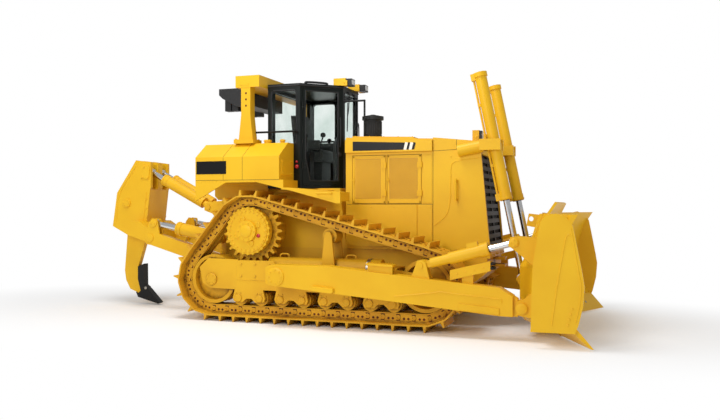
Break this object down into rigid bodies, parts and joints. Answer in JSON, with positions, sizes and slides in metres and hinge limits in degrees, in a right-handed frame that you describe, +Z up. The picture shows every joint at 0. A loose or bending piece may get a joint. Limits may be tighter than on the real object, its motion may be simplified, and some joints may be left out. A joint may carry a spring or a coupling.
{
  "type": "track-type bulldozer",
  "caption": "Track-type bulldozer with a high rear sprocket, semi-U blade on push arms, enclosed cab with roll frame and a single-shank rear ripper.",
  "frame": {"origin": "on the ground under the middle of the machine's box", "axes": "+X forward towards the blade, +Y to the machine's left, +Z up"},
  "size_m": [7.8583, 3.94, 3.58],
  "materials": {
    "yellow_paint": "semi gloss",
    "black_paint": "semi gloss",
    "dark_paint": "semi gloss",
    "track_steel": "worn",
    "drive_steel": "worn",
    "edge_steel": "worn",
    "rod_chrome": "polished",
    "pin_steel": "machined",
    "clear_glass": "clear",
    "black_plastic": "matte",
    "seat_vinyl": "woven",
    "hose_rubber": "matte"
  },
  "bodies": {
    "tractor": {"main_frame": "yellow_paint", "steering_case": "yellow_paint", "lamp_housings": "yellow_paint", "grab_handles": "yellow_paint", "handrails": "black_paint", "ripper_hoses": "hose_rubber", "engine_block": "black_paint", "hood": "yellow_paint", "radiator_guard": "yellow_paint", "radiator_grille": "black_paint", "fuel_tank": "yellow_paint", "side_tanks": "yellow_paint", "fenders": "yellow_paint", "roll_frame": "yellow_paint", "air_conditioner": "black_plastic", "cab_shell": "dark_paint", "cab_glass": "clear_glass", "seat": "seat_vinyl", "console": "black_plastic", "air_precleaner": "black_plastic", "work_lamps": "black_plastic", "lift_yokes": "yellow_paint", "axles": "yellow_paint", "track_frames": "yellow_paint", "idlers": "yellow_paint", "track_rollers": "yellow_paint", "carrier_rollers": "yellow_paint", "sprockets": "drive_steel", "final_drives": "yellow_paint", "track_right": "track_steel", "track_left": "track_steel", "ripper_mount": "yellow_paint", "ripper_tilt_pins": "pin_steel"},
    "push_frame": {"push_arms": "yellow_paint", "tilt_hoses": "hose_rubber"},
    "blade": {"moldboard": "yellow_paint", "cutting_edge": "edge_steel"},
    "lift_barrel_pair": {"lift_barrels": "yellow_paint"},
    "lift_rod_pair": {"lift_rods": "rod_chrome"},
    "tilt_barrel_pair": {"tilt_barrels": "yellow_paint"},
    "tilt_rod_pair": {"tilt_rods": "rod_chrome"},
    "ripper_arm_pair": {"ripper_arms": "yellow_paint"},
    "ripper_head": {"ripper_carriage": "yellow_paint", "ripper_shank": "yellow_paint", "ripper_tip": "black_paint", "ripper_pins": "pin_steel"},
    "ripper_tilt_barrel_pair": {"ripper_tilt_barrels": "yellow_paint"},
    "ripper_tilt_rod_pair": {"ripper_tilt_rods": "rod_chrome"},
    "ripper_lift_barrel_pair": {"ripper_lift_barrels": "yellow_paint"},
    "ripper_lift_rod_pair": {"ripper_lift_rods": "rod_chrome"},
    "cab_door_r": {"cab_door_right": "dark_paint", "door_glass_right": "clear_glass"},
    "cab_door_l": {"cab_door_left": "dark_paint", "door_glass_left": "clear_glass"},
    "engine_door_r": {"engine_doors_right": "yellow_paint"},
    "engine_door_l": {"engine_doors_left": "yellow_paint"},
    "rear_door_r": {"rear_doors_right": "yellow_paint"},
    "rear_door_l": {"rear_doors_left": "yellow_paint"}
  },
  "joints": [
    {"name": "blade_lift", "type": "hinge", "parent": "tractor", "child": "push_frame", "pos_m": [-0.27, 0, 0.7], "axis": [0, -1, 0], "range_deg": [-8, 16.5]},
    {"name": "blade_pitch", "type": "hinge", "parent": "push_frame", "child": "blade", "pos_m": [3.058, 0, 0.415], "axis": [0, 1, 0], "range_deg": [-4, 6]},
    {"name": "lift_barrel_swing", "type": "hinge", "parent": "tractor", "child": "lift_barrel_pair", "pos_m": [2.564, 0, 2.502], "axis": [0, -1, 0], "range_deg": [-3, 6]},
    {"name": "lift_rod_slide", "type": "slide", "parent": "lift_barrel_pair", "child": "lift_rod_pair", "axis": [0.2032, 0, -0.9791], "range_m": [-0.95, 0.48]},
    {"name": "tilt_barrel_swing", "type": "hinge", "parent": "push_frame", "child": "tilt_barrel_pair", "pos_m": [1.763, 0, 0.9], "axis": [0, 1, 0], "range_deg": [-1, 1]},
    {"name": "tilt_rod_slide", "type": "slide", "parent": "tilt_barrel_pair", "child": "tilt_rod_pair", "axis": [0.9665, 0, 0.2566], "range_m": [-0.1, 0.1]},
    {"name": "ripper_lift", "type": "hinge", "parent": "tractor", "child": "ripper_arm_pair", "pos_m": [-1.72, 0, 0.8], "axis": [0, 1, 0], "range_deg": [-45, 15]},
    {"name": "ripper_level", "type": "hinge", "parent": "ripper_arm_pair", "child": "ripper_head", "pos_m": [-2.974, 0, 1.158], "axis": [0, 1, 0], "range_deg": [-12, 34]},
    {"name": "ripper_tilt_barrel_swing", "type": "hinge", "parent": "tractor", "child": "ripper_tilt_barrel_pair", "pos_m": [-2.117, 0, 1.648], "axis": [0, 1, 0], "range_deg": [-50, 17]},
    {"name": "ripper_tilt_rod_slide", "type": "slide", "parent": "ripper_tilt_barrel_pair", "child": "ripper_tilt_rod_pair", "axis": [-0.8881, 0, 0.4597], "range_m": [-0.01, 0.03]},
    {"name": "ripper_lift_barrel_swing", "type": "hinge", "parent": "tractor", "child": "ripper_lift_barrel_pair", "pos_m": [-1.72, 0, 1.17], "axis": [0, 1, 0], "range_deg": [-45, 16]},
    {"name": "ripper_lift_rod_slide", "type": "slide", "parent": "ripper_lift_barrel_pair", "child": "ripper_lift_rod_pair", "axis": [-0.9832, 0, 0.1827], "range_m": [-0.11, 0.3]},
    {"name": "cab_door_right_hinge", "type": "hinge", "parent": "tractor", "child": "cab_door_r", "pos_m": [-0.21535, -0.78431, 2.6], "axis": [0, 0, -1], "range_deg": [0, 105]},
    {"name": "cab_door_left_hinge", "type": "hinge", "parent": "tractor", "child": "cab_door_l", "pos_m": [-0.21535, 0.78431, 2.6], "axis": [0, 0, 1], "range_deg": [0, 105]},
    {"name": "engine_door_right_hinge", "type": "hinge", "parent": "tractor", "child": "engine_door_r", "pos_m": [1.538, -0.6323, 2], "axis": [0, 0, 1], "range_deg": [0, 110]},
    {"name": "engine_door_left_hinge", "type": "hinge", "parent": "tractor", "child": "engine_door_l", "pos_m": [1.538, 0.6323, 2], "axis": [0, 0, -1], "range_deg": [0, 110]},
    {"name": "rear_door_right_hinge", "type": "hinge", "parent": "tractor", "child": "rear_door_r", "pos_m": [1.012, -0.6323, 2], "axis": [0, 0, 1], "range_deg": [0, 110]},
    {"name": "rear_door_left_hinge", "type": "hinge", "parent": "tractor", "child": "rear_door_l", "pos_m": [1.012, 0.6323, 2], "axis": [0, 0, -1], "range_deg": [0, 110]}
  ],
  "couplings": [
    {"joint": "lift_barrel_swing", "follows": "blade_lift", "ratio": 0.28},
    {"joint": "lift_rod_slide", "follows": "blade_lift", "m_per_rad": -3.15},
    {"joint": "tilt_barrel_swing", "follows": "blade_pitch", "ratio": 0.085},
    {"joint": "tilt_rod_slide", "follows": "blade_pitch", "m_per_rad": 0.8},
    {"joint": "ripper_level", "follows": "ripper_lift", "ratio": -0.74},
    {"joint": "ripper_tilt_barrel_swing", "follows": "ripper_lift", "ratio": 1.082},
    {"joint": "ripper_lift_barrel_swing", "follows": "ripper_lift", "ratio": 0.98},
    {"joint": "ripper_lift_rod_slide", "follows": "ripper_lift", "m_per_rad": -0.353},
    {"joint": "ripper_tilt_rod_slide", "follows": "ripper_lift", "m_per_rad": -0.0318}
  ]
}
